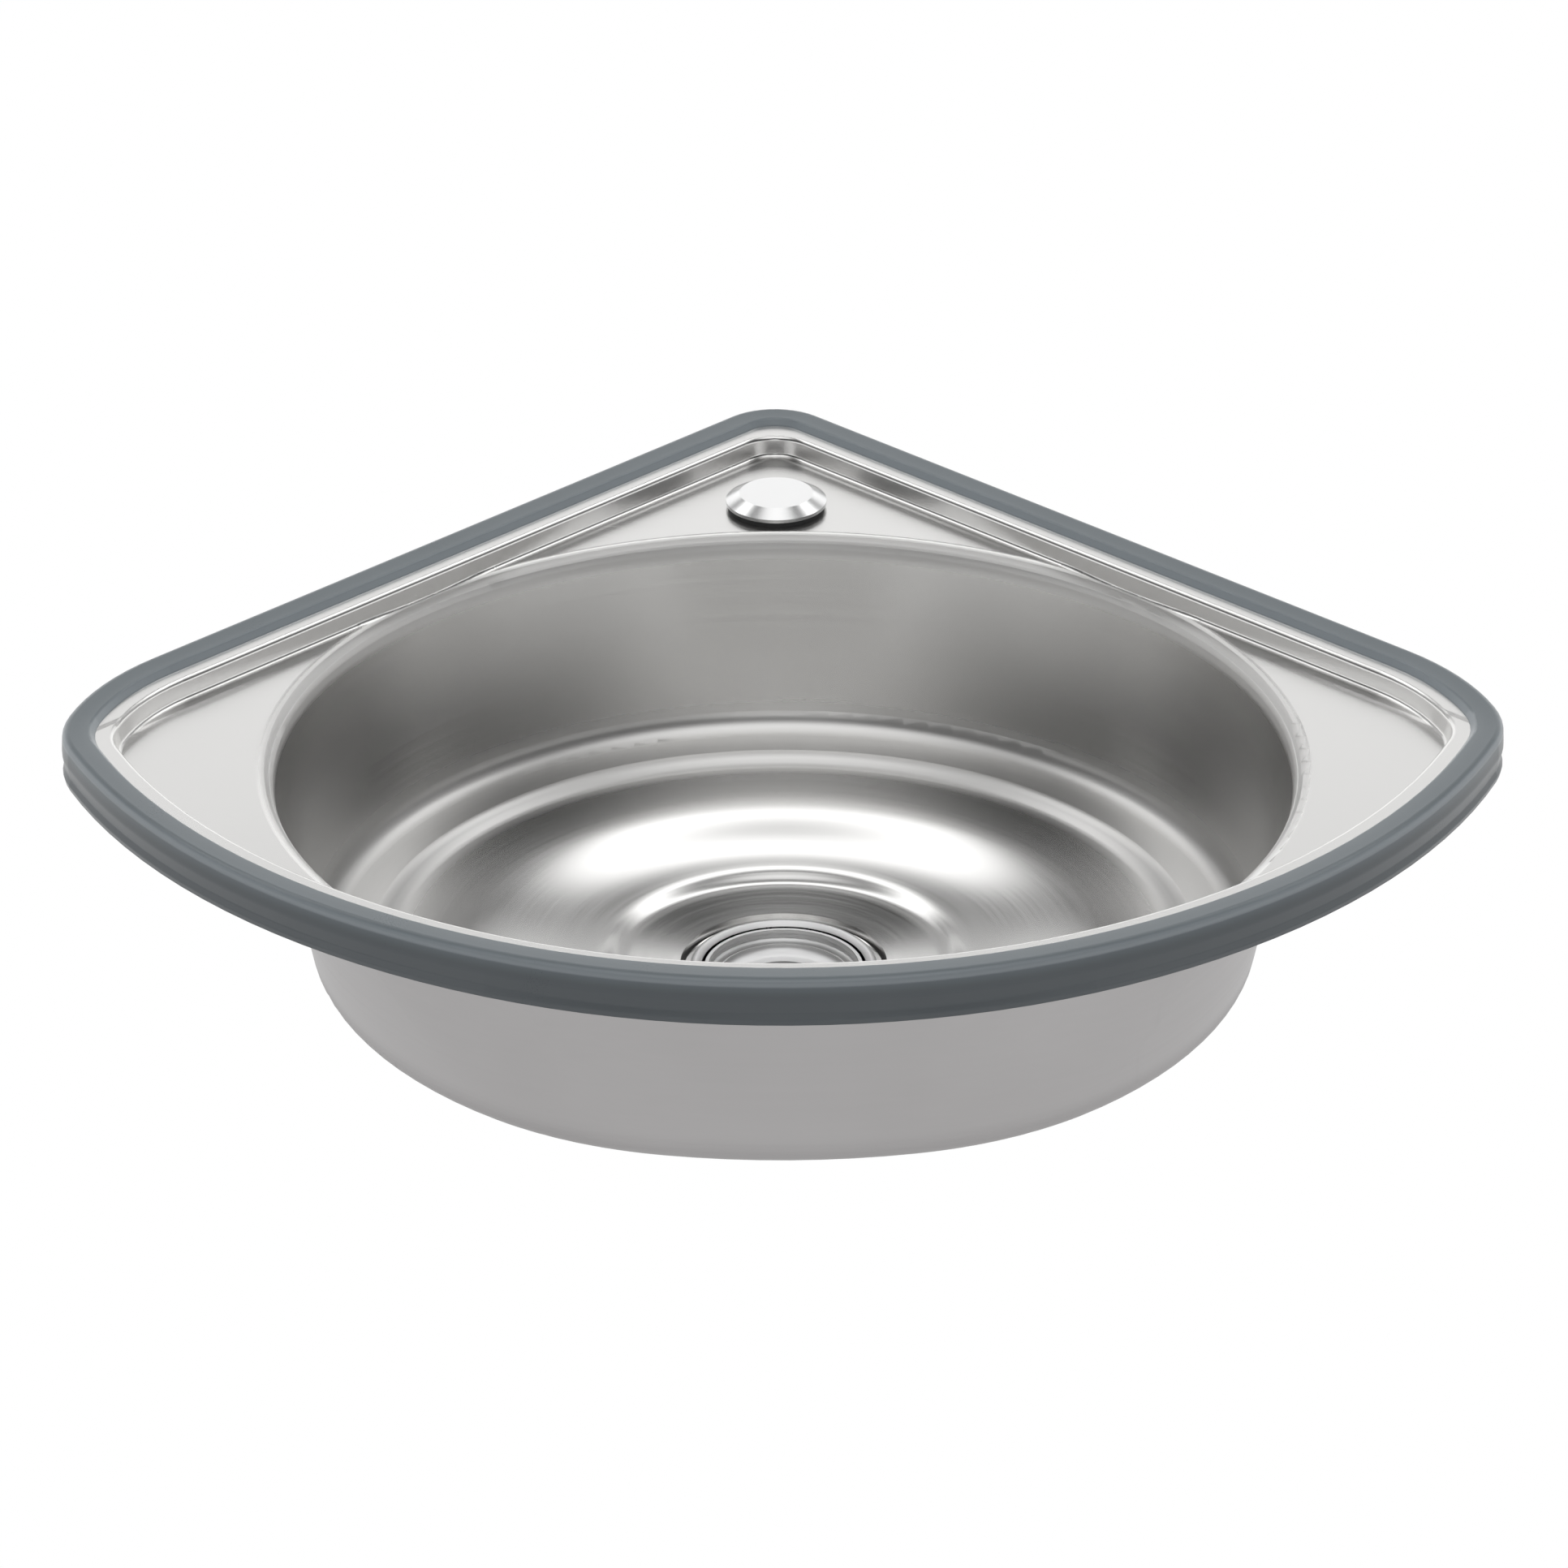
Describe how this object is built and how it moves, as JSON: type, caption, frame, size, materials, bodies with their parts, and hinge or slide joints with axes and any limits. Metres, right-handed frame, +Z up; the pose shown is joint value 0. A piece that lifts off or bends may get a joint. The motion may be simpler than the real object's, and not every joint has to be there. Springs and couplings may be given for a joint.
{
  "type": "corner sink",
  "caption": "Wall-hung corner sink: pressed steel quadrant top with a round bowl, grey rubber rim strip, capped tap hole, lift-out strainer waste and two wall rails.",
  "frame": {"origin": "the vertical corner line of the two walls, at the height of the steel rim's top face", "axes": "+X to the right along the front, +Y into the corner, +Z up; the walls stand at 45 degrees on either side of +Y"},
  "size_m": [0.555, 0.5048, 0.1659],
  "materials": {
    "stainless_sheet": "satin pressed stainless sheet",
    "polished_steel": "polished stainless steel",
    "zinc_steel": "bright zinc-plated steel",
    "grey_rubber": "satin slate-grey rubber",
    "black_rubber": "matt black rubber",
    "white_plastic": "moulded off-white plastic"
  },
  "bodies": {
    "sink": {"sink_bowl": "stainless_sheet", "rim_trim": "grey_rubber", "tap_hole_cover": "polished_steel", "cover_gasket": "black_rubber", "cover_stud": "zinc_steel", "cover_backing_washer": "zinc_steel", "cover_wing_nut": "zinc_steel", "waste_flange": "polished_steel", "waste_gasket_upper": "black_rubber", "waste_gasket_lower": "black_rubber", "waste_friction_washer": "white_plastic", "waste_lock_nut": "white_plastic", "wall_rail_right": "zinc_steel", "wall_rail_left": "zinc_steel", "hold_down_studs": "zinc_steel", "stud_spacers": "white_plastic", "hold_down_washers": "zinc_steel", "hold_down_wing_nuts": "zinc_steel"},
    "strainer": {"strainer_basket": "polished_steel", "strainer_post": "polished_steel", "strainer_seal": "black_rubber", "strainer_post_clip": "zinc_steel"}
  },
  "joints": [
    {"name": "strainer_lift", "type": "slide", "parent": "sink", "child": "strainer", "axis": [0, 0, 1], "range_m": [0, 0.165]}
  ]
}
